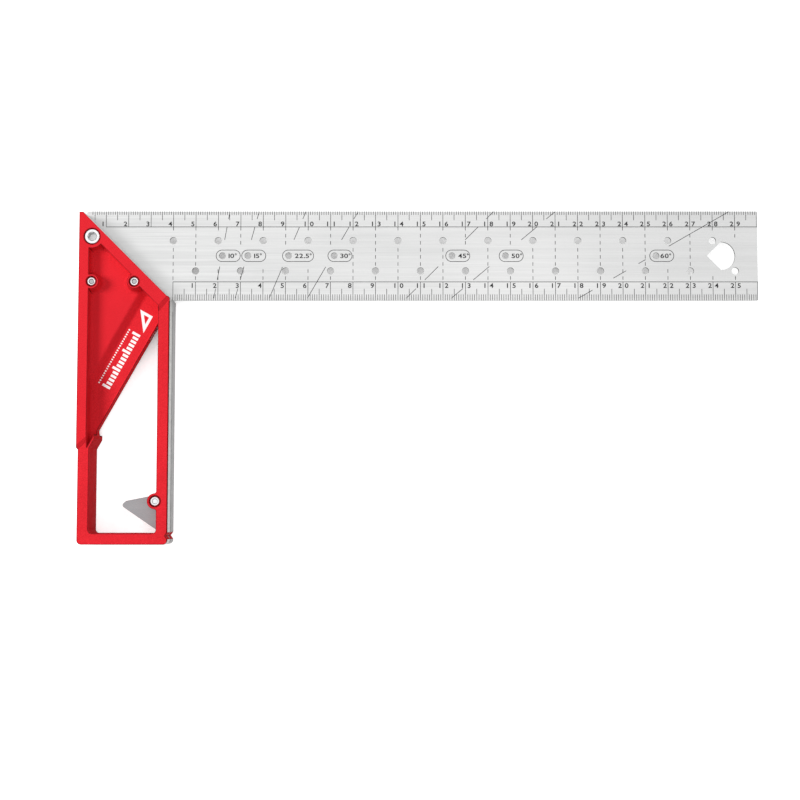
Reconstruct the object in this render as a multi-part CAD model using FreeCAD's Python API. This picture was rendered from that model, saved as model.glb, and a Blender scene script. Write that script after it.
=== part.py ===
import FreeCAD, Part
import math
import os

os.makedirs("parts", exist_ok=True)

# Try and mitre square with a fold-out support ledge, in millimetres.
# It lies flat. +X runs along the blade to its free end, +Y towards the blade's outer edge and
# +Z out of the front. The origin is the inside corner, at the middle of the thickness.

V = FreeCAD.Vector
UP = V(0, 0, 1)
REACH = 130.0               # longer than any cut needs

# Blade
BLADE_LENGTH = 260.0        # from the stock's inner face to the free end
BLADE_WIDTH = 40.0
BLADE_THICK = 1.2
TANG_LENGTH = 38.6          # the part of the blade inside the stock
TANG_RELIEF = 0.3           # the tang's lower edge stands back from the reference edge
BLADE_CORNER_R = 0.6
MARKING_HOLE_R = 1.6
MARKING_ROW = 6.8           # from the middle line to each row of pencil holes
MARKING_STEP = 20.0
MARKING_COUNT = 13
ANGLE_HOLE_R = 1.5
ANGLES = (10.0, 15.0, 22.5, 30.0, 45.0, 50.0, 60.0)
HANG_X = 243.7
HANG_R = 6.3

# Stock, the handle
STOCK_WIDTH = 40.0
STOCK_BOTTOM = -107.8
TIP_Y = 38.0                # flat left on the sharp tip of the 45 degree shoulder
RAISED_HALF = 10.0          # half thickness of the raised upper part
LOWER_HALF = 9.0            # half thickness of the open lower frame
STEP_RUN = 1.5              # length of the ramp between the two levels
OUTER_INSET = 0.6           # the lower frame's outer side stands back from the machined face
STEP_LEFT_Y = -65.9
STEP_LEFT_SLOPE = 42.0      # degrees from +X
STEP_RIGHT_Y = 0.95
STEP_RIGHT_SLOPE = 49.0
OUTER_RAIL = 5.4            # beside the window
RECESS_RAIL = 4.4           # beside the upper recess
INNER_RAIL = 5.05
BOTTOM_RAIL = 4.75
SHOULDER_RAIL = 4.7         # rail along the 45 degree face, square to it
SHOULDER_RAIL_LOW = 5.9     # the same rail below the inner blade pin
SCREW_LAND_R = 5.2          # solid land around the screw
CORNER_R = 2.0
WINDOW_CORNER_R = 1.8
PLATEAU_HALF = 5.0          # half thickness of the upper web
BAND_HALF = 2.4             # half thickness of the thin band beside the window
BAND_WIDTH = 12.4
BAND_RAMP = 3.0
WINDOW_TOP_Y = -9.0
WINDOW_ANGLE = math.radians(29.2)
FOOT_STEP = 4.0             # the web's lower end stands this much below the slanted edge
FOOT_REACH = 2.3            # and this far out from the rail
DRAFT = 0.3                 # the window's outer and lower walls lean in to the middle plane
HOLLOW_FILLET = 1.5
EDGE_BREAK = 0.4            # chamfer on the machined inner face
SHOULDER_BREAK = 0.3        # chamfer on the machined 45 degree face

# Notch that the bevel angles are struck from
NOTCH_Y = -104.0
NOTCH_DEPTH = 1.2
NOTCH_WIDTH = 3.1

# Slits in the stock
BLADE_SLIT_HALF = 0.65
LEDGE_SLIT_HALF = 0.85
LEDGE_SLIT_TOP = -5.0
LEDGE_SLIT_DEPTH = 6.6      # in the bottom rail

# Fasteners
SCREW_X, SCREW_Y = -34.3, 27.1
SCREW_HEAD_R = 3.25
SCREW_HEAD_LENGTH = 3.0
SCREW_SINK = 0.3            # the head's top stands back from the face
SCREW_SHANK_R = 1.9
SLEEVE_R = 2.6
SOCKET_R = 1.85             # corner radius of the hexagon socket
SOCKET_MOUTH_R = 2.05
SOCKET_DEPTH = 2.0
PIN_PLACES = ((-34.4, 7.2), (-15.6, 7.15))
PIN_R = 1.95
PIN_SINK = 0.3
PIN_CHAMFER = 0.35
DIMPLE_SHARE = 0.6          # of the pin's radius
BOSS_TOP_R = 3.2            # the pins' bosses, which widen by the taper below the front
BOSS_TAPER = 0.2
HEAD_RING = 0.35            # open ring around each head, where the hole is counterbored
HEAD_RING_DEPTH = 1.2
SEAT_GAP = 0.02             # radial gap of a pressed fit

# Support ledge and its pivot
PIVOT_X, PIVOT_Y = -5.6, -89.0
PIVOT_R = 2.15
PIVOT_RUN = 0.05            # radial running gap in the ledge
PIVOT_BOSS_R = 3.45
PIVOT_BOSS_BLEND = 0.9
LEDGE_THICK = 1.2
LEDGE_EYE_R = 3.2
ARM_TOP = 82.6              # from the pivot
ARM_OUTER = 5.45
ARM_INNER = 1.15
ARM_CORNER_R = 1.5
HEEL_Y = 2.9
TAB_TIP = (-14.3, -2.0)     # centre of the tab's rounded tip, from the pivot
TAB_TIP_R = 1.2
TAB_ROOT = (0.6, -13.3)
WASHER_R = 3.15
FRICTION_THICK = 0.2
SPRING_THICK = 0.1
SPRING_RISE = 0.08


def prism(points, low, high):
    """Upright prism on a closed outline of (x, y) points."""
    corners = [V(x, y, low) for x, y in points]
    face = Part.Face(Part.makePolygon(corners + corners[:1]))
    return face.extrude(V(0, 0, high - low))


def post(x, y, radius, low, high):
    return Part.makeCylinder(radius, high - low, V(x, y, low), UP)


def box(x0, x1, y0, y1, z0, z1):
    return Part.makeBox(x1 - x0, y1 - y0, z1 - z0, V(x0, y0, z0))


def upright_edges(shape, places, tolerance=0.05):
    """The vertical edges that stand on the given (x, y) places."""
    found = []
    for edge in shape.Edges:
        start = edge.Vertexes[0].Point
        end = edge.Vertexes[-1].Point
        if abs(start.x - end.x) > tolerance or abs(start.y - end.y) > tolerance:
            continue
        if any(math.hypot(start.x - x, start.y - y) < tolerance for x, y in places):
            found.append(edge)
    return found


def flip(shape):
    """The same shape on the back."""
    return shape.mirror(V(0, 0, 0), UP)


def save(name, shape):
    shape.exportStep(os.path.join("parts", name + ".step"))


# ---------------------------------------------------------------- stock

def shoulder_x(y, inset):
    """X of a line parallel to the 45 degree shoulder, the inset measured square to it."""
    return -y - inset * math.sqrt(2)


def stock_blank():
    low_left = (-STOCK_WIDTH + OUTER_INSET, STOCK_BOTTOM)
    low_right = (0.0, STOCK_BOTTOM)
    outline = [
        (0.0, 0.0),
        (-TIP_Y, TIP_Y),
        (-STOCK_WIDTH, TIP_Y),
        (-STOCK_WIDTH, STEP_LEFT_Y),
        (-STOCK_WIDTH + OUTER_INSET, STEP_LEFT_Y - OUTER_INSET),
        low_left,
        low_right,
    ]
    blank = prism(outline, -RAISED_HALF, RAISED_HALF)
    return blank.makeFillet(CORNER_R, upright_edges(blank, [low_left, low_right]))


def step_cut(place, slope, keep):
    """Takes the front down from the raised part to the lower frame. The step is a short ramp
    along a line through place, at slope degrees, with the low side to its lower right."""
    top = RAISED_HALF + 1
    section = [
        V(-REACH, -STEP_RUN / 2, top),
        V(-REACH, -STEP_RUN / 2, RAISED_HALF),
        V(-REACH, STEP_RUN / 2, LOWER_HALF),
        V(-REACH, REACH, LOWER_HALF),
        V(-REACH, REACH, top),
    ]
    face = Part.Face(Part.makePolygon(section + section[:1]))
    cut = face.extrude(V(2 * REACH, 0, 0))
    cut.rotate(V(0, 0, 0), UP, slope + 180)
    cut.translate(V(place[0], place[1], 0))
    return cut.common(keep)


def step_cuts():
    top = RAISED_HALF + 1
    split = -INNER_RAIL - 0.5
    outer_side = box(-STOCK_WIDTH - 1, split, STOCK_BOTTOM - 1, 0, 0, top)
    inner_side = box(split, 1, STOCK_BOTTOM - 1, STEP_RIGHT_Y + STEP_RUN, 0, top)
    left = step_cut((-STOCK_WIDTH, STEP_LEFT_Y), STEP_LEFT_SLOPE, outer_side)
    right = step_cut((0, STEP_RIGHT_Y), STEP_RIGHT_SLOPE, inner_side)
    return [left, right, flip(left), flip(right)]


def window_outline(lean):
    """The window's corners from its top point round to the web's foot. The outer and lower
    walls stand further in by lean."""
    inner = -INNER_RAIL
    outer = -STOCK_WIDTH + OUTER_RAIL + lean
    floor = STOCK_BOTTOM + BOTTOM_RAIL + lean
    foot = -STOCK_WIDTH + OUTER_RAIL + FOOT_REACH
    foot_y = WINDOW_TOP_Y - (inner - foot) / math.tan(WINDOW_ANGLE)
    low_y = foot_y - FOOT_STEP - (foot - outer) / math.tan(WINDOW_ANGLE)
    return [
        (inner, WINDOW_TOP_Y),
        (inner, floor),
        (outer, floor),
        (outer, low_y),
        (foot, foot_y - FOOT_STEP),
        (foot, foot_y),
    ]


def window():
    wires = []
    for height, lean in ((0, DRAFT), (RAISED_HALF, 0)):
        corners = [V(x, y, height) for x, y in window_outline(lean)]
        wires.append(Part.makePolygon(corners + corners[:1]))
    half = Part.makeLoft(wires, True, True)
    half = half.makeFillet(WINDOW_CORNER_R, upright_edges(half, window_outline(0)[1:3], 2 * DRAFT))
    return half.fuse(flip(half)).removeSplitter()


def plateau():
    """The thicker upper web, as a block that ends in a ramp beside the window's band."""
    middle = BAND_WIDTH
    section = [
        V(0, middle - BAND_RAMP / 2, BAND_HALF),
        V(0, middle + BAND_RAMP / 2, PLATEAU_HALF),
        V(0, REACH, PLATEAU_HALF),
        V(0, REACH, 0),
        V(0, middle - BAND_RAMP / 2, 0),
    ]
    face = Part.Face(Part.makePolygon(section + section[:1]))
    block = face.extrude(V(2 * REACH, 0, 0))
    block.translate(V(-REACH, 0, 0))
    block.rotate(V(0, 0, 0), UP, 90 - math.degrees(WINDOW_ANGLE))
    block.translate(V(-INNER_RAIL, WINDOW_TOP_Y, 0))
    return block


def boss(x, y):
    """Tapered boss of a blade pin, as tall as the recess and more."""
    top = RAISED_HALF + 2
    root_r = BOSS_TOP_R + BOSS_TAPER * RAISED_HALF
    return Part.makeCone(root_r, root_r - BOSS_TAPER * top, top, V(x, y, 0), UP)


def hollow():
    """The front recess between the rails, down to the web, with rounded floor edges."""
    upper = -STOCK_WIDTH + RECESS_RAIL
    pin_x, pin_y = PIN_PLACES[1]
    turn_y = pin_y - BOSS_TOP_R / 2
    foot_y = window_outline(0)[3][1]
    outline = [
        (upper, SCREW_Y),
        (shoulder_x(SCREW_Y, SHOULDER_RAIL), SCREW_Y),
        (pin_x, -pin_x - SHOULDER_RAIL * math.sqrt(2)),
        (shoulder_x(turn_y, SHOULDER_RAIL_LOW), turn_y),
        (-INNER_RAIL, INNER_RAIL - SHOULDER_RAIL_LOW * math.sqrt(2)),
        (-INNER_RAIL, WINDOW_TOP_Y - 1),
        (upper, foot_y),
    ]
    room = prism(outline, BAND_HALF, RAISED_HALF + 1)
    room = room.cut(post(SCREW_X, SCREW_Y, SCREW_LAND_R, 0, RAISED_HALF + 2))
    for x, y in PIN_PLACES:
        room = room.cut(boss(x, y))
    room = room.cut(plateau())
    low_edges = [e for e in room.Edges if max(v.Point.z for v in e.Vertexes) < PLATEAU_HALF + 0.1]
    return room.makeFillet(HOLLOW_FILLET, low_edges)


def screw_bore():
    """Through hole for the sleeve, with a seat and an open ring for a head on each side."""
    seat = RAISED_HALF - SCREW_SINK - SCREW_HEAD_LENGTH
    bore = post(SCREW_X, SCREW_Y, SLEEVE_R + SEAT_GAP, -RAISED_HALF, RAISED_HALF)
    for side in (1, -1):
        head = post(SCREW_X, SCREW_Y, SCREW_HEAD_R + SEAT_GAP, seat, RAISED_HALF + 1)
        ring_low = RAISED_HALF - HEAD_RING_DEPTH
        ring = post(SCREW_X, SCREW_Y, SCREW_HEAD_R + HEAD_RING, ring_low, RAISED_HALF + 1)
        both = head.fuse(ring)
        bore = bore.fuse(both if side > 0 else flip(both))
    return bore


def pin_bore(x, y, radius, half):
    """Through hole for a pressed pin, with an open ring around each end."""
    bore = post(x, y, radius + SEAT_GAP, -half - 1, half + 1)
    ring = post(x, y, radius + HEAD_RING, half - HEAD_RING_DEPTH, half + 1)
    return bore.fuse([ring, flip(ring)])


def pivot_boss(stock):
    """Adds the round boss of the ledge's pivot, blended into the inner rail."""
    boss = post(PIVOT_X, PIVOT_Y, PIVOT_BOSS_R, -LOWER_HALF, LOWER_HALF)
    joined = stock.fuse(boss).removeSplitter()
    wall = -INNER_RAIL
    reach = math.sqrt(PIVOT_BOSS_R ** 2 - (wall - PIVOT_X) ** 2)
    places = [(wall, PIVOT_Y + reach), (wall, PIVOT_Y - reach)]
    return joined.makeFillet(PIVOT_BOSS_BLEND, upright_edges(joined, places))


def notch():
    half = NOTCH_WIDTH / 2
    outline = [(0, NOTCH_Y + half), (-NOTCH_DEPTH, NOTCH_Y), (0, NOTCH_Y - half), (1, NOTCH_Y)]
    return prism(outline, -RAISED_HALF, RAISED_HALF)


def inner_edge_break():
    """Chamfer between the machined inner face and the front."""
    corner = [
        V(1, STOCK_BOTTOM - 1, LOWER_HALF - EDGE_BREAK - 1),
        V(1, STOCK_BOTTOM - 1, LOWER_HALF + 1),
        V(-EDGE_BREAK - 1, STOCK_BOTTOM - 1, LOWER_HALF + 1),
    ]
    face = Part.Face(Part.makePolygon(corner + corner[:1]))
    length = STEP_RIGHT_Y - STEP_RUN - STOCK_BOTTOM
    return face.extrude(V(0, length, 0))


def shoulder_break():
    """Chamfer between the machined 45 degree face and the front."""
    corner = [
        V(0, 1, RAISED_HALF - SHOULDER_BREAK - 1),
        V(0, 1, RAISED_HALF + 1),
        V(0, -SHOULDER_BREAK - 1, RAISED_HALF + 1),
    ]
    face = Part.Face(Part.makePolygon(corner + corner[:1]))
    wedge = face.extrude(V(2 * REACH, 0, 0))
    wedge.translate(V(-REACH, 0, 0))
    wedge.rotate(V(0, 0, 0), UP, -45)
    return wedge


def slits():
    """The blade's slit, and the ledge's slit from near the blade to the bottom end."""
    blade_gap = BLADE_SLIT_HALF - BLADE_THICK / 2
    blade_end = -TANG_LENGTH - 6 * blade_gap
    blade_slit = box(
        blade_end, 1, -blade_gap, STOCK_WIDTH, -BLADE_SLIT_HALF, BLADE_SLIT_HALF)
    floor_y = STOCK_BOTTOM + BOTTOM_RAIL
    past_boss = PIVOT_X - PIVOT_BOSS_R - 1
    upper = box(past_boss, 1, floor_y, LEDGE_SLIT_TOP, -LEDGE_SLIT_HALF, LEDGE_SLIT_HALF)
    lower = box(
        -LEDGE_SLIT_DEPTH, 1, STOCK_BOTTOM - 1, floor_y, -LEDGE_SLIT_HALF, LEDGE_SLIT_HALF)
    return [blade_slit, upper, lower]


def handle():
    recess = hollow()
    edges = [inner_edge_break(), shoulder_break()]
    shape = stock_blank().cut(step_cuts() + [window(), recess, flip(recess)])
    shape = pivot_boss(shape)
    shape = shape.cut(edges + [flip(edge) for edge in edges] + [notch()])
    shape = shape.cut(slits())
    bores = [screw_bore(), pin_bore(PIVOT_X, PIVOT_Y, PIVOT_R, LOWER_HALF)]
    bores += [pin_bore(x, y, PIN_R, RAISED_HALF) for x, y in PIN_PLACES]
    return shape.cut(bores).removeSplitter()


# ---------------------------------------------------------------- blade

def hang_hole():
    """Half round towards the free end and pointed towards the stock."""
    half = BLADE_THICK
    middle = BLADE_WIDTH / 2
    tip = (HANG_X - HANG_R, middle)
    corners = [(HANG_X, middle + HANG_R), tip, (HANG_X, middle - HANG_R)]
    disc = post(HANG_X, middle, HANG_R, -half, half)
    right = disc.common(box(HANG_X, HANG_X + HANG_R, 0, BLADE_WIDTH, -half, half))
    return right.fuse(prism(corners, -half, half)).removeSplitter()


def blade():
    half = BLADE_THICK / 2
    free_end = [(BLADE_LENGTH, 0.0), (BLADE_LENGTH, BLADE_WIDTH)]
    plate = prism([(-TANG_LENGTH, 0.0)] + free_end + [(-TANG_LENGTH, BLADE_WIDTH)], -half, half)
    plate = plate.makeFillet(BLADE_CORNER_R, upright_edges(plate, free_end))
    relief = box(-TANG_LENGTH - 1, 0, -1, TANG_RELIEF, -1, 1)
    middle = BLADE_WIDTH / 2
    cuts = [relief, hang_hole()]
    for index in range(MARKING_COUNT):
        upper_x = index * MARKING_STEP
        lower_x = upper_x + MARKING_STEP / 2
        cuts.append(post(upper_x, middle + MARKING_ROW, MARKING_HOLE_R, -1, 1))
        cuts.append(post(lower_x, middle - MARKING_ROW, MARKING_HOLE_R, -1, 1))
    for angle in ANGLES:
        x = (middle - NOTCH_Y) * math.tan(math.radians(angle))
        cuts.append(post(x, middle, ANGLE_HOLE_R, -1, 1))
    for x, y in PIN_PLACES:
        cuts.append(post(x, y, PIN_R + SEAT_GAP, -1, 1))
    cuts.append(post(SCREW_X, SCREW_Y, SLEEVE_R + SEAT_GAP, -1, 1))
    return plate.cut(cuts)


# ---------------------------------------------------------------- fasteners

def hex_socket(x, y, top):
    """Cutter for a hexagon socket with a conical mouth."""
    corners = []
    for index in range(6):
        turn = math.radians(60 * index + 15)
        corners.append((x + SOCKET_R * math.cos(turn), y + SOCKET_R * math.sin(turn)))
    socket = prism(corners, top - SOCKET_DEPTH, top + 1)
    cone_depth = SOCKET_MOUTH_R - SOCKET_R
    mouth = Part.makeCone(SOCKET_R, SOCKET_MOUTH_R, cone_depth, V(x, y, top - cone_depth), UP)
    return socket.fuse(mouth)


def round_head(x, y, radius, low, high):
    """Short cylinder with its upper edge chamfered."""
    head = post(x, y, radius, low, high)
    rim = [e for e in head.Edges if len(e.Vertexes) == 1 and e.Vertexes[0].Point.z > high - 0.01]
    return head.makeChamfer(PIN_CHAMFER / 2, rim)


def blade_screw():
    top = RAISED_HALF - SCREW_SINK
    under = top - SCREW_HEAD_LENGTH
    head = round_head(SCREW_X, SCREW_Y, SCREW_HEAD_R, under, top)
    shank = post(SCREW_X, SCREW_Y, SCREW_SHANK_R, -under + 2, under)
    return head.fuse(shank).cut(hex_socket(SCREW_X, SCREW_Y, top)).removeSplitter()


def blade_screw_nut():
    """Sleeve nut, seen from the back as the screw's twin."""
    top = RAISED_HALF - SCREW_SINK
    under = top - SCREW_HEAD_LENGTH
    head = round_head(SCREW_X, SCREW_Y, SCREW_HEAD_R, under, top)
    head = flip(head.cut(hex_socket(SCREW_X, SCREW_Y, top)))
    sleeve = post(SCREW_X, SCREW_Y, SLEEVE_R, -under, under - 1)
    thread = post(SCREW_X, SCREW_Y, SCREW_SHANK_R + SEAT_GAP, -under + 1, under)
    return head.fuse(sleeve).cut(thread).removeSplitter()


def dimpled_pin(x, y, radius, half):
    """Plain pin with chamfered ends and a shallow dimple in each."""
    pin = post(x, y, radius, -half, half)
    pin = pin.makeChamfer(PIN_CHAMFER, [e for e in pin.Edges if len(e.Vertexes) == 1])
    depth = PIN_CHAMFER
    dimple_r = DIMPLE_SHARE * radius
    dimple = Part.makeCone(dimple_r - depth, dimple_r, depth, V(x, y, half - depth), UP)
    return pin.cut([dimple, flip(dimple)])


def blade_pins():
    half = RAISED_HALF - PIN_SINK
    return Part.makeCompound([dimpled_pin(x, y, PIN_R, half) for x, y in PIN_PLACES])


# ---------------------------------------------------------------- ledge

def support_ledge():
    """Flat ledge: an arm in the slit, an eye on the pivot and a thumb tab in the window."""
    half = LEDGE_THICK / 2
    arm_end = [(ARM_OUTER, ARM_TOP), (ARM_INNER, ARM_TOP)]
    tip_x, tip_y = TAB_TIP
    outline = [
        (ARM_OUTER, HEEL_Y),
        arm_end[0],
        arm_end[1],
        (ARM_INNER, LEDGE_EYE_R),
        (-1.2, LEDGE_EYE_R - 0.4),
        (tip_x + 0.3, tip_y + TAB_TIP_R + 1.0),
        (tip_x - 1.6 * TAB_TIP_R, tip_y + 0.2),
        TAB_ROOT,
    ]
    placed = [(x + PIVOT_X, y + PIVOT_Y) for x, y in outline]
    plate = prism(placed, -half, half)
    plate = plate.makeFillet(ARM_CORNER_R, upright_edges(plate, placed[1:2]))
    plate = plate.makeFillet(TAB_TIP_R, upright_edges(plate, placed[5:7]))
    plate = plate.fuse(post(PIVOT_X, PIVOT_Y, LEDGE_EYE_R, -half, half)).removeSplitter()
    return plate.cut(post(PIVOT_X, PIVOT_Y, PIVOT_R + PIVOT_RUN, -1, 1))


def ledge_pivot_pin():
    return dimpled_pin(PIVOT_X, PIVOT_Y, PIVOT_R, LOWER_HALF - PIN_SINK / 3)


def ledge_friction_washer():
    high = LEDGE_SLIT_HALF - SEAT_GAP / 2
    low = high - FRICTION_THICK
    ring = post(PIVOT_X, PIVOT_Y, WASHER_R, low, high)
    return ring.cut(post(PIVOT_X, PIVOT_Y, PIVOT_R + PIVOT_RUN, 0, 1))


def ledge_spring_washer():
    """Dished washer on the back side of the ledge."""
    inner = PIVOT_R + PIVOT_RUN
    high = -LEDGE_THICK / 2 - SEAT_GAP
    section = [
        V(inner, 0, high - SPRING_THICK),
        V(WASHER_R, 0, high - SPRING_THICK - SPRING_RISE),
        V(WASHER_R, 0, high - SPRING_RISE),
        V(inner, 0, high),
    ]
    ring = Part.Face(Part.makePolygon(section + section[:1])).revolve(V(0, 0, 0), UP, 360)
    ring.translate(V(PIVOT_X, PIVOT_Y, 0))
    return ring


save("handle", handle())
save("blade", blade())
save("blade_screw", blade_screw())
save("blade_screw_nut", blade_screw_nut())
save("blade_pins", blade_pins())
save("support_ledge", support_ledge())
save("ledge_pivot_pin", ledge_pivot_pin())
save("ledge_friction_washer", ledge_friction_washer())
save("ledge_spring_washer", ledge_spring_washer())
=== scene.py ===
import math

import bpy
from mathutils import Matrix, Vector


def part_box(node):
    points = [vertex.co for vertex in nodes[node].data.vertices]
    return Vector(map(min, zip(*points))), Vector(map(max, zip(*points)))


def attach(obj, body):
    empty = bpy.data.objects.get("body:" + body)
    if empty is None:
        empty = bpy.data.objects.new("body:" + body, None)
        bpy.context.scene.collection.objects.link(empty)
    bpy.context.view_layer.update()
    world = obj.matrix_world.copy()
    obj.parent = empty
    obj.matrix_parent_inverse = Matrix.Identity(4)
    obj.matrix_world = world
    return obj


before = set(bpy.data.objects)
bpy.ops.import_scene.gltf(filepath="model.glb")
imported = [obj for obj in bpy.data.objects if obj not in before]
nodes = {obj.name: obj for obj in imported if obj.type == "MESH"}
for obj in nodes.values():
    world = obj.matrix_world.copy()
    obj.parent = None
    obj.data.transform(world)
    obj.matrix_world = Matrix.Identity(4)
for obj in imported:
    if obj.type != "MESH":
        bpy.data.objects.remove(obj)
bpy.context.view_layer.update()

# Looks of the try and mitre square: red powder-coated stock, brushed steel blade with etched
# scales, plated fasteners and the grey fold-out ledge. Metres throughout, in the CAD frame:
# origin at the inside corner, +X along the blade, +Y to its outer edge, +Z out of the front.

MM = 0.001
DOWN = Vector((0, 0, -1))

stock_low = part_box("handle")[0]
blade_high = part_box("blade")[1]
pins_low, pins_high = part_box("blade_pins")
screw_low, screw_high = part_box("blade_screw")
pivot_low, pivot_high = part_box("ledge_pivot_pin")

BLADE_END = blade_high.x
BLADE_WIDTH = blade_high.y
BLADE_MIDDLE = BLADE_WIDTH / 2
BLADE_TOP = blade_high.z
STOCK_WIDTH = -stock_low.x

# Holes in the blade, which the dashed lines keep clear of
HOLE_R = 1.6 * MM
HOLE_COLUMNS = 13           # each has an upper hole and, half a pitch on, a lower one
HOLE_PITCH = 20 * MM
ROW_OFFSET = 6.8 * MM
HANG_HOLE_X = 243.7 * MM
HANG_HOLE_R = 6.3 * MM

# Etched lines
MARK_LOW = BLADE_TOP - 0.01 * MM
MARK_HIGH = BLADE_TOP + 0.012 * MM
TICK = 0.24 * MM            # width of the scale ticks
LINE = 0.27 * MM            # width of the ruled lines
END_LINE = 0.22 * MM        # width of the lines at the scales' ends
END_INSET = 0.25 * MM       # from the blade's end to the line that closes a scale
OUTER_LINE_Y = BLADE_WIDTH - 7.0 * MM
INNER_LINE_Y = 8.3 * MM
OUTER_TICKS = (1.6 * MM, 4.0 * MM)     # millimetre and half-centimetre lengths
INNER_TICKS = (2.7 * MM, 5.2 * MM)
OUTER_FIRST_TICK = 4        # in millimetres; the stock's tip covers the ones before it
INNER_FIRST_TICK = 1
OUTER_LAST_NUMBER = 29      # in centimetres
INNER_LAST_NUMBER = 25
DASH = 1.6 * MM
DASH_PITCH = 3.17 * MM
HOLE_GAP = 0.5 * MM         # dashes stay this far from a hole
PILL_GAP_X = 0.3 * MM       # and this far from a pill
PILL_GAP_Y = 0.4 * MM

# Etched figures
DIGIT_HEIGHT = 2.05 * MM
DIGIT_WIDEN = 1.15          # figures are drawn this much wider than the font's own
GLYPH_OFFSET = 0.022        # thickens the font's strokes
OUTER_FOOT = OUTER_LINE_Y + 0.35 * MM
INNER_FOOT = INNER_LINE_Y - 0.6 * MM - DIGIT_HEIGHT
SINGLE_LEFT = 1.42 * MM     # a lone figure's middle, left of its line
PAIR_LEFT = 1.36 * MM       # the two figures of a pair, left and right of their line
PAIR_RIGHT = 1.6 * MM
ANGLE_HEIGHT = 1.95 * MM
ANGLE_WIDEN = 1.3
ANGLE_SPACING = 0.25 * MM

# Slanted lines and the pills round the angle holes and their labels
NOTCH_Y = -104.0 * MM       # the angle holes' lines meet at the notch in the stock's foot
BEVEL_LEAD = 0.0285 * MM    # how far the slanted lines lie short of their holes, per degree
PILL_HEIGHT = 5.15 * MM
PILL_BEHIND = 2.75 * MM     # from the hole's centre to the pill's near end
PILL_AHEAD = 7.95 * MM      # and to its far end
PILL_LONG = 11.1 * MM
PILL_STEPS = 16             # straight pieces in each rounded end
LABEL_START = 2.75 * MM     # from the hole's centre to its label
LABEL_NEAR = 2.0 * MM

# Stretches of a slanted line as pairs of heights above the blade's inner edge, in millimetres
LINE_TOP = 39.88
LONG_LOWER = ((LINE_TOP, 36.6), (33.0, 27.2), (15.0, 1.0))
SPLIT_LOWER = ((LINE_TOP, 36.6), (33.0, 27.2), (15.2, 9.2), (5.3, 1.0))
LONG_UPPER = ((LINE_TOP, 24.3), (18.3, 16.5), (13.3, 10.0), (4.6, 1.0))

# Each bevel angle: its label, the label's start and the pill's end ahead of the hole, and the
# stretches of its slanted line.
ANGLES = {
    10.0: ("10", LABEL_START, PILL_AHEAD, SPLIT_LOWER),
    15.0: ("15", LABEL_START, PILL_AHEAD, SPLIT_LOWER),
    22.5: ("22.5", LABEL_START, PILL_LONG, LONG_LOWER),
    30.0: ("30", LABEL_START, PILL_AHEAD, LONG_LOWER),
    45.0: ("45", LABEL_START, PILL_AHEAD, SPLIT_LOWER),
    50.0: ("50", LABEL_START, PILL_AHEAD, SPLIT_LOWER),
    60.0: ("60", LABEL_NEAR, PILL_AHEAD, LONG_UPPER),
}

# Printed panel on the stock. The graphic's measures are in millimetres along and across the
# thin band beside the window, from the window's upper corner.
BAND_TOP = Vector((-5.05 * MM, -9.0 * MM))
BAND_ANGLE = math.radians(29.2)
BAND_ALONG = Vector((-math.sin(BAND_ANGLE), -math.cos(BAND_ANGLE)))
BAND_ACROSS = Vector((-math.cos(BAND_ANGLE), math.sin(BAND_ANGLE)))
BAND_PROBE = (15, 7)        # a spot on the band where its height is read
PROBE_START = 0.05          # the probe comes down from here, in metres
PRINT_SINK = 0.05 * MM
PRINT_RISE = 0.03 * MM
ICON_FOOT = (0.3, 3.7)      # the set-square outline's right angle
ICON_LEGS = (8.4, 6.4)
ICON_BAR = 1.25             # width of its bars
ROWS_START = 10.2           # where the two rows below it begin
BAR_COUNT = 16
BAR_PITCH = 1.76
BAR_WIDTH = 1.12
BAR_FOOT = 4.3
BAR_SHORT = 6.9
BAR_TALL = 8.1              # every fifth bar reaches here
PRINT_DASH_COUNT = 24
PRINT_DASH_PITCH = 1.16
PRINT_DASH_LENGTH = 0.6
PRINT_DASH_ROW = (9.5, 10.2)

# Materials
WAVE_LENGTH = 0.314         # repeat length of a wave texture whose scale is 1
EDGE_SHADE_TONE = 0.3             # brightness of the coat on the chamfer at the milled face, lowered as painted shade

# Stage
FLOOR_HALF = 1.5
SKY_LIGHT = 0.42            # the surroundings' strength as a light
SKY_GLOSS = 0.75            # and in reflections
LAMPS = (                   # name, place, aim, size and power
    ("key", (-0.8, 0.12, 0.75), (0.03, -0.03, 0), 0.42, 9.5),
    ("overhead", (0.2, -0.03, 0.95), (0.16, -0.03, 0), 1.0, 3.4),
)
CAMERA_PLACE = (0.1009, -0.0918, 0.6635)
CAMERA_TILT = 0.0715        # radians from straight down
CAMERA_LENS = 67.68         # lens and sensor width in millimetres
CAMERA_SENSOR = 36


# ---------------------------------------------------------------- node helpers

def new_material(name):
    """A material with its node tree and its main shader."""
    material = bpy.data.materials.new(name)
    material.use_nodes = True
    tree = material.node_tree
    return material, tree, tree.nodes["Principled BSDF"]


def link(tree, source, target):
    """Joins one node's output to another's input."""
    tree.links.new(source, target)


def fill(tree, shader, colour, roughness, metallic=0.0, normal=None):
    """Gives a material's shader its colour, roughness, metal and surface detail."""
    link(tree, colour, shader.inputs["Base Color"])
    link(tree, roughness, shader.inputs["Roughness"])
    shader.inputs["Metallic"].default_value = metallic
    if normal is not None:
        link(tree, normal, shader.inputs["Normal"])


def grey(value):
    """Neutral colour."""
    return (value, value, value)


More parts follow.
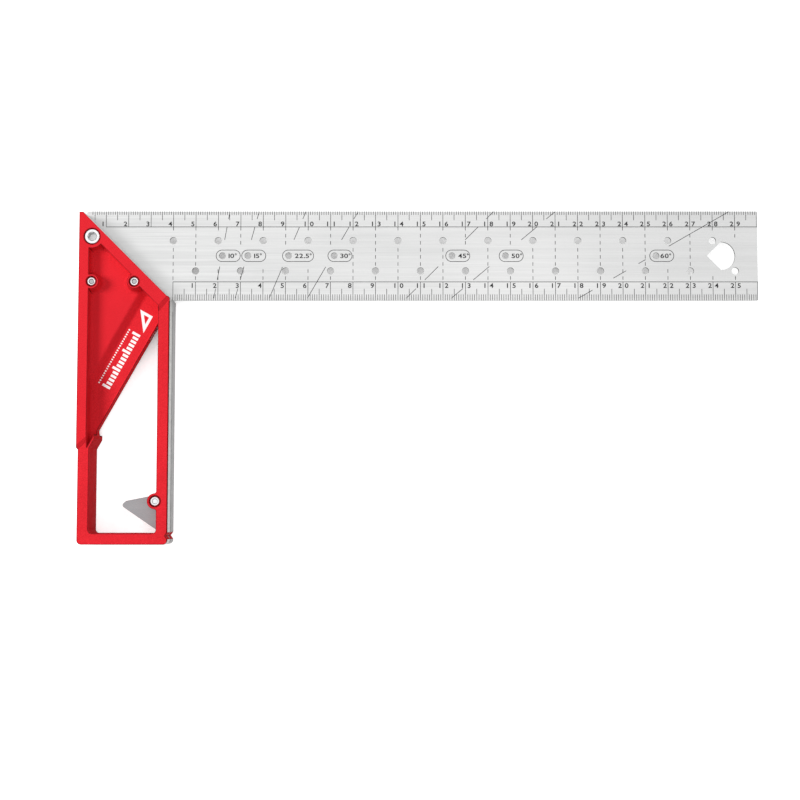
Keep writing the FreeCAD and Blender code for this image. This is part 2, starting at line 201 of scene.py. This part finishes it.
def noise(tree, scale, detail=3.0, stretch=(1, 1, 1)):
    """Noise in the frame's own metres, drawn out along the axes by stretch."""
    place = tree.nodes.new("ShaderNodeTexCoord")
    mapping = tree.nodes.new("ShaderNodeMapping")
    mapping.inputs["Scale"].default_value = [1 / s for s in stretch]
    texture = tree.nodes.new("ShaderNodeTexNoise")
    texture.inputs["Scale"].default_value = scale
    texture.inputs["Detail"].default_value = detail
    link(tree, place.outputs["Object"], mapping.inputs["Vector"])
    link(tree, mapping.outputs["Vector"], texture.inputs["Vector"])
    return texture.outputs["Fac"]


def rings(tree, centre, pitch):
    """Turned rings about an upright axis through centre."""
    place = tree.nodes.new("ShaderNodeTexCoord")
    mapping = tree.nodes.new("ShaderNodeMapping")
    mapping.inputs["Location"].default_value = [-centre[0], -centre[1], 0]
    wave = tree.nodes.new("ShaderNodeTexWave")
    wave.wave_type = "RINGS"
    wave.rings_direction = "Z"
    wave.inputs["Scale"].default_value = WAVE_LENGTH / pitch
    wave.inputs["Distortion"].default_value = 0.6
    wave.inputs["Detail"].default_value = 2.0
    link(tree, place.outputs["Object"], mapping.inputs["Vector"])
    link(tree, mapping.outputs["Vector"], wave.inputs["Vector"])
    return wave.outputs["Fac"]


def spread(tree, source, low, high, start=0.3, stop=0.7):
    """Maps the middle of a texture's range to the range low to high."""
    node = tree.nodes.new("ShaderNodeMapRange")
    node.inputs["From Min"].default_value = start
    node.inputs["From Max"].default_value = stop
    node.inputs["To Min"].default_value = low
    node.inputs["To Max"].default_value = high
    link(tree, source, node.inputs["Value"])
    return node.outputs["Result"]


def between(tree, source, first, second, start=0.35, stop=0.65):
    """Colour that goes from first to second as the texture rises from start to stop."""
    node = tree.nodes.new("ShaderNodeValToRGB")
    node.color_ramp.elements[0].position = start
    node.color_ramp.elements[0].color = (*first, 1)
    node.color_ramp.elements[1].position = stop
    node.color_ramp.elements[1].color = (*second, 1)
    link(tree, source, node.inputs["Fac"])
    return node.outputs["Color"]


def multiplied(tree, first, second):
    """Product of two colours."""
    node = tree.nodes.new("ShaderNodeMix")
    node.data_type = "RGBA"
    node.blend_type = "MULTIPLY"
    node.inputs[0].default_value = 1.0
    link(tree, first, node.inputs[6])
    link(tree, second, node.inputs[7])
    return node.outputs[2]


def combined(tree, operation, first, second):
    """One number made from two."""
    node = tree.nodes.new("ShaderNodeMath")
    node.operation = operation
    link(tree, first, node.inputs[0])
    link(tree, second, node.inputs[1])
    return node.outputs["Value"]


def bump(tree, height, distance, strength=1.0, under=None):
    """Normal of the surface raised by the texture, on top of the normal under it."""
    node = tree.nodes.new("ShaderNodeBump")
    node.inputs["Distance"].default_value = distance
    node.inputs["Strength"].default_value = strength
    link(tree, height, node.inputs["Height"])
    if under is not None:
        link(tree, under, node.inputs["Normal"])
    return node.outputs["Normal"]


def rounded(tree, radius):
    """Normal of the surface with its sharp edges rounded over."""
    node = tree.nodes.new("ShaderNodeBevel")
    node.samples = 6
    node.inputs["Radius"].default_value = radius
    return node.outputs["Normal"]


# ---------------------------------------------------------------- materials

def edge_tone(tree):
    """Painted shade: darkens the coat along its sharp edges, where rounded edges would fall
    into shade.
    """
    flat = tree.nodes.new("ShaderNodeNewGeometry")
    turn = tree.nodes.new("ShaderNodeVectorMath")
    turn.operation = "DOT_PRODUCT"
    link(tree, rounded(tree, 0.75 * MM), turn.inputs[0])
    link(tree, flat.outputs["Normal"], turn.inputs[1])
    return between(tree, turn.outputs["Value"], grey(0.3), grey(1), 0.9, 0.99)


def red_coat(name, brightness=1.0):
    """Fine-textured red powder coat over a casting, with painted shade along its sharp edges;
    a lower brightness makes it darker, for painted shade.
    """
    material, tree, shader = new_material(name)
    grain = noise(tree, 2600, 2.0)
    peel = noise(tree, 620, 3.0)
    cloud = noise(tree, 55, 3.0)
    speckle = between(tree, grain, (0.62, 0.014, 0.022), (0.78, 0.022, 0.034))
    shade = between(tree, cloud, grey(0.93 * brightness), grey(brightness))
    # the coat's colour is multiplied by the painted edge shade
    colour = multiplied(tree, multiplied(tree, speckle, shade), edge_tone(tree))
    coarse = bump(tree, peel, 0.05 * MM, 0.55, rounded(tree, 0.5 * MM))
    fine = bump(tree, grain, 0.03 * MM, 0.6, coarse)
    fill(tree, shader, colour, spread(tree, peel, 0.62, 0.78), normal=fine)
    shader.inputs["Specular IOR Level"].default_value = 0.06
    return material


def front_pass(tree):
    """Painted light on the milled faces: a painted reflection makes their front part lighter,
    and painted shade darkens them towards the back.
    """
    place = tree.nodes.new("ShaderNodeTexCoord")
    parts = tree.nodes.new("ShaderNodeSeparateXYZ")
    link(tree, place.outputs["Object"], parts.inputs["Vector"])
    height = parts.outputs["Z"]
    front = spread(tree, height, 0, 1, 2.6 * MM, 3.4 * MM)
    rise = spread(tree, height, 0, 1, -10 * MM, 3 * MM)
    # painted reflection: lighter in front of z 3 mm
    step = between(tree, front, grey(0.76), (1, 0.985, 0.965), 0, 1)
    # painted shade: darker towards the back
    fade = between(tree, rise, (0.72, 0.72, 0.73), grey(1), 0, 1)
    return multiplied(tree, step, fade)


def milled_aluminium():
    """Bare machined faces: fine cutter lines across the thickness."""
    material, tree, shader = new_material("milled_aluminium")
    lines = noise(tree, 2400, 2.0, (0.6, 0.6, 40))
    cloud = noise(tree, 160, 4.0)
    tone = between(tree, lines, (0.62, 0.62, 0.615), (0.80, 0.795, 0.785))
    shade = between(tree, cloud, grey(0.88), grey(1))
    # the milled colour carries the painted reflection and shade
    colour = multiplied(tree, multiplied(tree, tone, shade), front_pass(tree))
    roughness = spread(tree, lines, 0.34, 0.52)
    fill(tree, shader, colour, roughness, 0.9, bump(tree, lines, 0.01 * MM, 0.6))
    return material


def brushed_blade():
    """Stainless steel brushed along the blade, with faint clouds."""
    material, tree, shader = new_material("brushed_stainless")
    streaks = noise(tree, 2600, 4.0, (90, 1, 1))
    broad = noise(tree, 420, 3.0, (60, 1, 1))
    cloud = noise(tree, 14, 3.0, (1.4, 1, 1))
    tone = between(tree, streaks, grey(0.49), (0.58, 0.58, 0.577), 0.3, 0.7)
    band = between(tree, broad, grey(0.94), grey(1))
    shade = between(tree, cloud, (0.88, 0.885, 0.885), grey(1), 0.3, 0.65)
    colour = multiplied(tree, multiplied(tree, tone, band), shade)
    roughness = spread(tree, streaks, 0.30, 0.46)
    fill(tree, shader, colour, roughness, 1.0, bump(tree, streaks, 0.006 * MM, 0.5))
    return material


def punched_edge():
    """Walls of the punched holes, coloured dark as painted shade, and rough."""
    material, tree, shader = new_material("punched_edge")
    grain = noise(tree, 4000, 3.0, (1, 1, 6))
    # dark colour: painted shade inside the holes
    colour = between(tree, grain, grey(0.10), grey(0.24))
    fill(tree, shader, colour, spread(tree, grain, 0.45, 0.65), 0.7)
    return material


def etched_ink(name, tone):
    """Dark etched mark; the steel's grain shows through a little."""
    material, tree, shader = new_material(name)
    grain = noise(tree, 3000, 3.0, (12, 1, 1))
    colour = between(tree, grain, tone, [1.5 * c for c in tone])
    fill(tree, shader, colour, spread(tree, grain, 0.5, 0.7), 0.3)
    return material


def turned_steel(name, centre, tone=0.7):
    """Bright plated steel with turned rings about its own axis."""
    material, tree, shader = new_material(name)
    lathe = rings(tree, centre, 0.12 * MM)
    cloud = noise(tree, 900, 3.0)
    dark = (0.86 * tone, 0.86 * tone, 0.87 * tone)
    turned = between(tree, lathe, dark, (tone, tone, 1.01 * tone), 0.2, 0.8)
    shade = between(tree, cloud, (0.9, 0.9, 0.91), grey(1))
    colour = multiplied(tree, turned, shade)
    roughness = spread(tree, cloud, 0.2, 0.34)
    fill(tree, shader, colour, roughness, 1.0, bump(tree, lathe, 0.004 * MM, 0.5))
    return material


def ledge_grey():
    """Matt grey blasted steel."""
    material, tree, shader = new_material("ledge_grey_steel")
    grain = noise(tree, 3600, 3.0)
    cloud = noise(tree, 180, 3.0, (3, 1, 1))
    tone = between(tree, grain, (0.24, 0.24, 0.247), (0.30, 0.30, 0.309))
    colour = multiplied(tree, tone, between(tree, cloud, grey(0.92), grey(1)))
    roughness = spread(tree, grain, 0.48, 0.62)
    fill(tree, shader, colour, roughness, 0.55, bump(tree, grain, 0.012 * MM, 0.5))
    return material


def spring_steel():
    """Plain steel of the washers inside the ledge's slit."""
    material, tree, shader = new_material("spring_steel")
    grain = noise(tree, 2500, 3.0)
    colour = between(tree, grain, grey(0.4), grey(0.5))
    fill(tree, shader, colour, spread(tree, grain, 0.3, 0.5), 1.0)
    return material


def white_print():
    """Pad-printed white ink, thin enough to take the powder coat's texture."""
    material, tree, shader = new_material("white_print")
    grain = noise(tree, 2600, 2.0)
    colour = between(tree, grain, (0.84, 0.80, 0.80), (0.93, 0.91, 0.91))
    roughness = spread(tree, grain, 0.45, 0.6)
    fill(tree, shader, colour, roughness, normal=bump(tree, grain, 0.02 * MM, 0.5))
    return material


def floor_paper():
    """Pale floor that glows, as painted light, for the camera and in reflections wherever it
    is open to the sky; where the tool covers it closely the glow fades, as painted shade."""
    material, tree, shader = new_material("floor_paper")
    grain = noise(tree, 300, 4.0)
    link(tree, between(tree, grain, grey(0.58), grey(0.62)), shader.inputs["Base Color"])
    # painted light: the floor's emission, dimmed by occlusion as painted shade under the tool
    sky = tree.nodes.new("ShaderNodeAmbientOcclusion")
    sky.inputs["Distance"].default_value = 60 * MM
    sky.samples = 8
    openness = spread(tree, sky.outputs["AO"], 0.05, 0.85, 0.08, 0.22)
    ray = tree.nodes.new("ShaderNodeLightPath")
    mirrored = spread(tree, ray.outputs["Is Glossy Ray"], 0, 0.5, 0, 1)
    seen = combined(tree, "MAXIMUM", ray.outputs["Is Camera Ray"], mirrored)
    glow = combined(tree, "MULTIPLY", openness, seen)
    link(tree, glow, shader.inputs["Emission Strength"])
    shader.inputs["Emission Color"].default_value = (1, 1, 1, 1)
    shader.inputs["Roughness"].default_value = 0.9
    shader.inputs["Specular IOR Level"].default_value = 0.1
    return material


# ---------------------------------------------------------------- CAD nodes

def finish_node(name, *materials):
    """Gives a CAD node its materials, in slot order."""
    slots = nodes[name].data.materials
    slots.clear()
    for material in materials:
        slots.append(material)
    for polygon in nodes[name].data.polygons:
        polygon.material_index = 0


def centre_of(low, high):
    """(x, y) of a box's middle."""
    return ((low.x + high.x) / 2, (low.y + high.y) / 2)


def is_machined(polygon):
    """The stock's bare faces: the inner face round to its bottom corner, the outer face, the
    shoulder with its broken edges, and the walls of the slits."""
    near = 0.02 * MM
    corner_wide = 1.5 * MM
    corner_high = 2.1 * MM
    shoulder_reach = 0.45 * MM
    slit_half = 1.0 * MM
    centre = polygon.center
    normal = polygon.normal
    if abs(centre.x) < near and normal.x > 0.99:
        return True
    if abs(centre.x + STOCK_WIDTH) < near and normal.x < -0.99:
        return True
    in_corner = centre.x > -corner_wide and centre.y < stock_low.y + corner_high
    if in_corner and normal.x > 0.3 and abs(normal.z) < 0.1:
        return True
    if centre.x + centre.y > -shoulder_reach and normal.x > 0.4 and normal.y > 0.4:
        return True
    return abs(normal.z) > 0.99 and abs(centre.z) < slit_half


def is_coat_edge(polygon):
    """The broken edge between the coat and the milled inner face."""
    edge_reach = 0.45 * MM
    return polygon.center.x > -edge_reach and 0.3 < abs(polygon.normal.z) < 0.95


def dress_stock():
    """Red coat with bare machined faces, and painted shade on the chamfer where the two meet.
    """
    coat = red_coat("red_powder_coat")
    # a darker copy of the coat on that chamfer: painted shade
    coat_edge_shade = red_coat("shaded_coat_edge", EDGE_SHADE_TONE)
    finish_node("handle", coat, milled_aluminium(), coat_edge_shade)
    for polygon in nodes["handle"].data.polygons:
        if is_machined(polygon):
            polygon.material_index = 1
        elif is_coat_edge(polygon):
            polygon.material_index = 2


def dress_blade():
    """Brushed faces and edges, with painted shade on the walls of the punched holes."""
    finish_node("blade", brushed_blade(), punched_edge())
    rim = 0.7 * MM
    for polygon in nodes["blade"].data.polygons:
        centre = polygon.center
        inside = rim < centre.y < BLADE_WIDTH - rim and centre.x < BLADE_END - rim
        if inside and abs(polygon.normal.z) < 0.5:
            polygon.material_index = 1


def dress_pins():
    """Turned steel on the chamfered rims, and a darker steel in the dimple in the middle of
    each pin, as painted shade.
    """
    radius = (pins_high.y - pins_low.y) / 2
    dimple_radius = 0.65 * radius
    middle_x, middle_y = centre_of(pins_low, pins_high)
    places = ((pins_low.x + radius, middle_y), (pins_high.x - radius, middle_y))
    rims = [turned_steel("pin_steel_%d" % i, place) for i, place in enumerate(places)]
    # darker steel in the dimple: painted shade
    shaded_dimple = turned_steel("pin_dimple_shade", places[0], 0.36)
    finish_node("blade_pins", *rims, shaded_dimple)
    for polygon in nodes["blade_pins"].data.polygons:
        spot = polygon.center
        side = 0 if spot.x < middle_x else 1
        reach = math.hypot(spot.x - places[side][0], spot.y - places[side][1])
        inside = reach < dimple_radius and abs(polygon.normal.z) > 0.3
        polygon.material_index = 2 if inside else side


def dress_screw(steel):
    """The screw's head, with painted shade in its socket: dark walls and a floor darker than
    the head.
    """
    centre = centre_of(screw_low, screw_high)
    mouth = 0.66 * (screw_high.y - screw_low.y) / 2
    head_top = screw_high.z - 0.02 * MM
    # socket walls and floor coloured darker than the head: painted shade
    shade = turned_steel("socket_shade", centre, 0.2)
    floor = turned_steel("socket_floor_shade", centre, 0.48)
    finish_node("blade_screw", steel, shade, floor)
    for polygon in nodes["blade_screw"].data.polygons:
        spot = polygon.center
        reach = math.hypot(spot.x - centre[0], spot.y - centre[1])
        if reach < mouth and 0 < spot.z < head_top:
            polygon.material_index = 2 if polygon.normal.z > 0.9 else 1


def dress_fasteners():
    """The screw with its nut, the pins, and the washers inside the ledge's slit."""
    dress_pins()
    steel = turned_steel("screw_steel", centre_of(screw_low, screw_high))
    dress_screw(steel)
    finish_node("blade_screw_nut", steel)
    pivot_steel = turned_steel("pivot_steel", centre_of(pivot_low, pivot_high), 0.62)
    finish_node("ledge_pivot_pin", pivot_steel)
    washer_steel = spring_steel()
    finish_node("ledge_friction_washer", washer_steel)
    finish_node("ledge_spring_washer", washer_steel)


# ---------------------------------------------------------------- etched marks

def new_piece(name, shape, material):
    """Makes a mesh piece from (points, faces) that rides on the stock."""
    mesh = bpy.data.meshes.new(name)
    mesh.from_pydata(shape[0], [], shape[1])
    mesh.validate()
    mesh.materials.append(material)
    piece = bpy.data.objects.new(name, mesh)
    bpy.context.scene.collection.objects.link(piece)
    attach(piece, "stock")


def add_plate(shape, outline, low, high):
    """Thin closed plate on a convex outline of (x, y) points, counter-clockwise."""
    points, faces = shape
    first = len(points)
    count = len(outline)
    points.extend((x, y, low) for x, y in outline)
    points.extend((x, y, high) for x, y in outline)
    faces.append([first + i for i in reversed(range(count))])
    faces.append([first + count + i for i in range(count)])
    for i in range(count):
        j = (i + 1) % count
        faces.append([first + i, first + j, first + count + j, first + count + i])


def add_line(shape, start, end, width=LINE):
    """Straight etched line between two (x, y) points."""
    first = Vector(start)
    last = Vector(end)
    side = (last - first).normalized().orthogonal() * (width / 2)
    corners = (first - side, last - side, last + side, first + side)
    add_plate(shape, [tuple(corner) for corner in corners], MARK_LOW, MARK_HIGH)


def add_loop(shape, path):
    """Etched line along a closed path of (x, y) points, counter-clockwise."""
    points, faces = shape
    first = len(points)
    count = len(path)
    section = ((1, MARK_LOW), (1, MARK_HIGH), (-1, MARK_HIGH), (-1, MARK_LOW))
    for i in range(count):
        along = (Vector(path[(i + 1) % count]) - Vector(path[i - 1])).normalized()
        out = Vector((along.y, -along.x)) * (LINE / 2)
        for reach, height in section:
            spot = Vector(path[i]) + reach * out
            points.append((spot.x, spot.y, height))
    for i in range(count):
        here = first + 4 * i
        there = first + 4 * ((i + 1) % count)
        for k in range(4):
            m = (k + 1) % 4
            faces.append([here + k, there + k, there + m, here + m])


def centimetre_x(outer, number):
    """X of a centimetre on the outer scale, or on the inner one, which starts at the stock."""
    return number * 10 * MM - (STOCK_WIDTH if outer else 0)


def rule_ticks():
    """Both millimetre scales, the two ruled lines along them and the lines at their ends."""
    shape = ([], [])
    for outer in (True, False):
        edge = BLADE_WIDTH if outer else 0
        inward = -1 if outer else 1
        ruled = OUTER_LINE_Y if outer else INNER_LINE_Y
        first = OUTER_FIRST_TICK if outer else INNER_FIRST_TICK
        last = round((BLADE_END + (STOCK_WIDTH if outer else 0)) / MM)
        short, half = OUTER_TICKS if outer else INNER_TICKS
        for count in range(first, last):
            x = centimetre_x(outer, count / 10)
            reach = short
            if count % 5 == 0:
                reach = half
            if count % 10 == 0:
                reach = abs(ruled - edge)
            add_line(shape, (x, edge), (x, edge + inward * reach), TICK)
        start = centimetre_x(True, 1) if outer else 0
        add_line(shape, (start, ruled), (BLADE_END, ruled))
        end_x = BLADE_END - END_INSET
        add_line(shape, (end_x, edge), (end_x, ruled), END_LINE)
    add_line(shape, (0, 0), (0, INNER_LINE_Y), END_LINE)
    return shape


def angle_x(angle, height):
    """X where the line at this bevel angle from the stock's notch reaches a height."""
    return (height - NOTCH_Y) * math.tan(math.radians(angle))


def holes():
    """(x, y, radius) of the pencil holes and the hang hole."""
    found = [(HANG_HOLE_X, BLADE_MIDDLE, HANG_HOLE_R)]
    for column in range(HOLE_COLUMNS):
        x = column * HOLE_PITCH
        found.append((x, BLADE_MIDDLE + ROW_OFFSET, HOLE_R))
        found.append((x + HOLE_PITCH / 2, BLADE_MIDDLE - ROW_OFFSET, HOLE_R))
    return found


def is_clear(x, low, high):
    """True where a stretch of an upright line misses every hole and pill."""
    for hole_x, hole_y, radius in holes():
        gap = radius + HOLE_GAP
        if abs(x - hole_x) < gap and low < hole_y + gap and high > hole_y - gap:
            return False
    reach = PILL_HEIGHT / 2 + PILL_GAP_Y
    for angle, (_, _, ahead, _) in ANGLES.items():
        hole_x = angle_x(angle, BLADE_MIDDLE)
        pill_start = hole_x - PILL_BEHIND - PILL_GAP_X
        pill_end = hole_x + ahead + PILL_GAP_X
        in_pill = pill_start < x < pill_end
        if in_pill and low < BLADE_MIDDLE + reach and high > BLADE_MIDDLE - reach:
            return False
    return True


def centimetre_dashes():
    """Dashed upright lines that carry each centimetre across the blade."""
    shape = ([], [])
    steps = int((OUTER_LINE_Y - INNER_LINE_Y) / DASH_PITCH) + 1
    for number in range(INNER_LAST_NUMBER + 1):
        x = centimetre_x(False, number)
        for step in range(steps):
            high = OUTER_LINE_Y - step * DASH_PITCH
            low = max(high - DASH, INNER_LINE_Y)
            if is_clear(x, low, high):
                add_line(shape, (x, high), (x, low))
    return shape


def bevel_lines():
    """Stretches of the slanted lines, each of which points just short of its angle hole."""
    shape = ([], [])
    for angle, (_, _, _, stretches) in ANGLES.items():
        lead = BEVEL_LEAD * angle
        for high, low in stretches:
            start = (angle_x(angle, high * MM) - lead, high * MM)
            end = (angle_x(angle, low * MM) - lead, low * MM)
            add_line(shape, start, end)
    return shape


def pill_path(low_x, high_x):
    """Outline of a pill along the blade's middle, counter-clockwise."""
    radius = PILL_HEIGHT / 2
    path = []
    for centre_x, start in ((high_x - radius, -90), (low_x + radius, 90)):
        for step in range(PILL_STEPS + 1):
            turn = math.radians(start + step * 180 / PILL_STEPS)
            x = centre_x + radius * math.cos(turn)
            path.append((x, BLADE_MIDDLE + radius * math.sin(turn)))
    return path


def angle_pills():
    """Rings round each angle hole and its label."""
    shape = ([], [])
    for angle, (_, _, ahead, _) in ANGLES.items():
        x = angle_x(angle, BLADE_MIDDLE)
        add_loop(shape, pill_path(x - PILL_BEHIND, x + ahead))
    return shape


glyphs = {}                 # characters already drawn


def glyph(character):
    """(points, faces, width) of a character at font size one and one unit thick. Its left side
    is on x 0 and its foot on y 0."""
    if character not in glyphs:
        curve = bpy.data.curves.new("glyph", "FONT")
        curve.body = character
        curve.resolution_u = 4
        curve.extrude = 0.5
        curve.offset = GLYPH_OFFSET
        holder = bpy.data.objects.new("glyph", curve)
        bpy.context.scene.collection.objects.link(holder)
        bpy.context.view_layer.update()
        mesh = holder.to_mesh()
        points = [tuple(v.co) for v in mesh.vertices]
        faces = [list(p.vertices) for p in mesh.polygons]
        holder.to_mesh_clear()
        bpy.data.objects.remove(holder)
        bpy.data.curves.remove(curve)
        left = min(p[0] for p in points)
        width = max(p[0] for p in points) - left
        glyphs[character] = ([(x - left, y, z) for x, y, z in points], faces, width)
    return glyphs[character]


def digit_scale():
    """Size that makes a figure one unit high."""
    points = glyph("1")[0]
    return 1 / max(p[1] for p in points)


def add_glyph(shape, character, left, foot, height, widen=DIGIT_WIDEN):
    """Adds a character as a thin closed plate and returns its width."""
    points, faces, width = glyph(character)
    size = height * digit_scale()
    across = size * widen
    middle = (MARK_LOW + MARK_HIGH) / 2
    thick = MARK_HIGH - MARK_LOW
    first = len(shape[0])
    for x, y, z in points:
        shape[0].append((left + x * across, foot + y * size, middle + z * thick))
    shape[1].extend([first + i for i in face] for face in faces)
    return width * across


def centred_digit(shape, digit, centre, foot):
    """Adds one digit of a scale's number, with its middle at centre."""
    width = glyph(digit)[2] * DIGIT_HEIGHT * digit_scale() * DIGIT_WIDEN
    add_glyph(shape, digit, centre - width / 2, foot, DIGIT_HEIGHT)


def scale_numbers():
    """Centimetre numbers: one figure left of its line, or one on each side of it."""
    shape = ([], [])
    for outer in (True, False):
        last = OUTER_LAST_NUMBER if outer else INNER_LAST_NUMBER
        foot = OUTER_FOOT if outer else INNER_FOOT
        for number in range(1, last + 1):
            x = centimetre_x(outer, number)
            figures = str(number)
            left = SINGLE_LEFT if len(figures) == 1 else PAIR_LEFT
            centred_digit(shape, figures[0], x - left, foot)
            if len(figures) == 2:
                centred_digit(shape, figures[1], x + PAIR_RIGHT, foot)
    return shape


def angle_numbers():
    """Each angle's value and its degree sign, inside its pill."""
    shape = ([], [])
    foot = BLADE_MIDDLE - ANGLE_HEIGHT / 2
    for angle, (label, start, _, _) in ANGLES.items():
        left = angle_x(angle, BLADE_MIDDLE) + start
        for character in label:
            width = add_glyph(shape, character, left, foot, ANGLE_HEIGHT, ANGLE_WIDEN)
            left += width + ANGLE_SPACING
        add_glyph(shape, "\u00b0", left, foot, ANGLE_HEIGHT, 1)
    return shape


def etch_blade():
    """All the marks on the blade's front."""
    line_ink = etched_ink("etched_lines", (0.016, 0.016, 0.017))
    figure_ink = etched_ink("etched_figures", (0.008, 0.008, 0.009))
    new_piece("scale_ticks", rule_ticks(), line_ink)
    new_piece("centimetre_dashes", centimetre_dashes(), line_ink)
    new_piece("bevel_lines", bevel_lines(), line_ink)
    new_piece("angle_pills", angle_pills(), line_ink)
    new_piece("scale_numbers", scale_numbers(), figure_ink)
    new_piece("angle_numbers", angle_numbers(), figure_ink)


# ---------------------------------------------------------------- printed panel

def band_point(along, across):
    """(x, y) in the frame of a point given in millimetres along and across the band."""
    return tuple(BAND_TOP + BAND_ALONG * along * MM + BAND_ACROSS * across * MM)


def band_height():
    """Height of the band's surface, found on the stock itself."""
    start = Vector((*band_point(*BAND_PROBE), PROBE_START))
    hit, place, _, _ = nodes["handle"].ray_cast(start, DOWN)
    return place.z if hit else 0.0


def icon_corners(inset):
    """Corners of the set-square icon's triangle, moved in by inset from every side."""
    long_leg, short_leg = ICON_LEGS
    slope = inset * math.hypot(1 / long_leg, 1 / short_leg)
    corners = [
        (inset, inset),
        (inset, short_leg * (1 - slope - inset / long_leg)),
        (long_leg * (1 - slope - inset / short_leg), inset),
    ]
    return [band_point(ICON_FOOT[0] + x, ICON_FOOT[1] + y) for x, y in corners]


def printed_graphic(ink):
    """A plain set-square outline, then a row of ruler bars and a fine row of dashes, in white.
    It carries no lettering."""
    surface = band_height()
    low = surface - PRINT_SINK
    high = surface + PRINT_RISE
    shape = ([], [])

    def block(start, length, near, far):
        """Adds one straight-sided block of print."""
        end = start + length
        corners = ((start, near), (start, far), (end, far), (end, near))
        add_plate(shape, [band_point(*corner) for corner in corners], low, high)

    outer = icon_corners(0)
    inner = icon_corners(ICON_BAR)
    for i in range(3):
        j = (i + 1) % 3
        add_plate(shape, [outer[i], outer[j], inner[j], inner[i]], low, high)
    for index in range(BAR_COUNT):
        top = BAR_TALL if index % 5 == 0 else BAR_SHORT
        block(ROWS_START + BAR_PITCH * index, BAR_WIDTH, BAR_FOOT, top)
    for index in range(PRINT_DASH_COUNT):
        block(ROWS_START + PRINT_DASH_PITCH * index, PRINT_DASH_LENGTH, *PRINT_DASH_ROW)
    new_piece("printed_graphic", shape, ink)


# ---------------------------------------------------------------- stage

def stage():
    """White floor under the tool."""
    mesh = bpy.data.meshes.new("floor")
    spots = ((-1, -1), (1, -1), (1, 1), (-1, 1))
    corners = [(x * FLOOR_HALF, y * FLOOR_HALF, stock_low.z) for x, y in spots]
    mesh.from_pydata(corners, [], [[0, 1, 2, 3]])
    mesh.materials.append(floor_paper())
    floor = bpy.data.objects.new("floor", mesh)
    bpy.context.scene.collection.objects.link(floor)


def surroundings():
    """Even surroundings: white to the eye, bright in reflections, dimmer as a light."""
    world = bpy.data.worlds.new("studio")
    world.use_nodes = True
    tree = world.node_tree
    back = tree.nodes["Background"]
    back.inputs["Color"].default_value = (1, 1, 1, 1)
    ray = tree.nodes.new("ShaderNodeLightPath")
    eye = spread(tree, ray.outputs["Is Camera Ray"], 0, 1 - SKY_LIGHT, 0, 1)
    gloss = spread(tree, ray.outputs["Is Glossy Ray"], SKY_LIGHT, SKY_GLOSS, 0, 1)
    link(tree, combined(tree, "ADD", eye, gloss), back.inputs["Strength"])
    bpy.context.scene.world = world


def area_light(name, place, aim, size, power):
    """Square soft light aimed at a point and hidden from the camera."""
    data = bpy.data.lights.new(name, "AREA")
    data.shape = "SQUARE"
    data.size = size
    data.energy = power
    lamp = bpy.data.objects.new(name, data)
    lamp.location = place
    direction = Vector(aim) - Vector(place)
    lamp.rotation_euler = direction.to_track_quat("-Z", "Y").to_euler()
    lamp.visible_camera = False
    bpy.context.scene.collection.objects.link(lamp)


def camera():
    """Looks down on the square from 0.66 m, tilted four degrees."""
    data = bpy.data.cameras.new("camera")
    data.sensor_width = CAMERA_SENSOR
    data.lens = CAMERA_LENS
    viewer = bpy.data.objects.new("camera", data)
    viewer.location = CAMERA_PLACE
    viewer.rotation_euler = (CAMERA_TILT, 0, 0)
    bpy.context.scene.collection.objects.link(viewer)
    bpy.context.scene.camera = viewer


# ---------------------------------------------------------------- build

dress_stock()
dress_blade()
dress_fasteners()
finish_node("support_ledge", ledge_grey())
etch_blade()
printed_graphic(white_print())
stage()
surroundings()
for lamp_values in LAMPS:
    area_light(*lamp_values)
bpy.context.scene.view_settings.view_transform = "Standard"
camera()
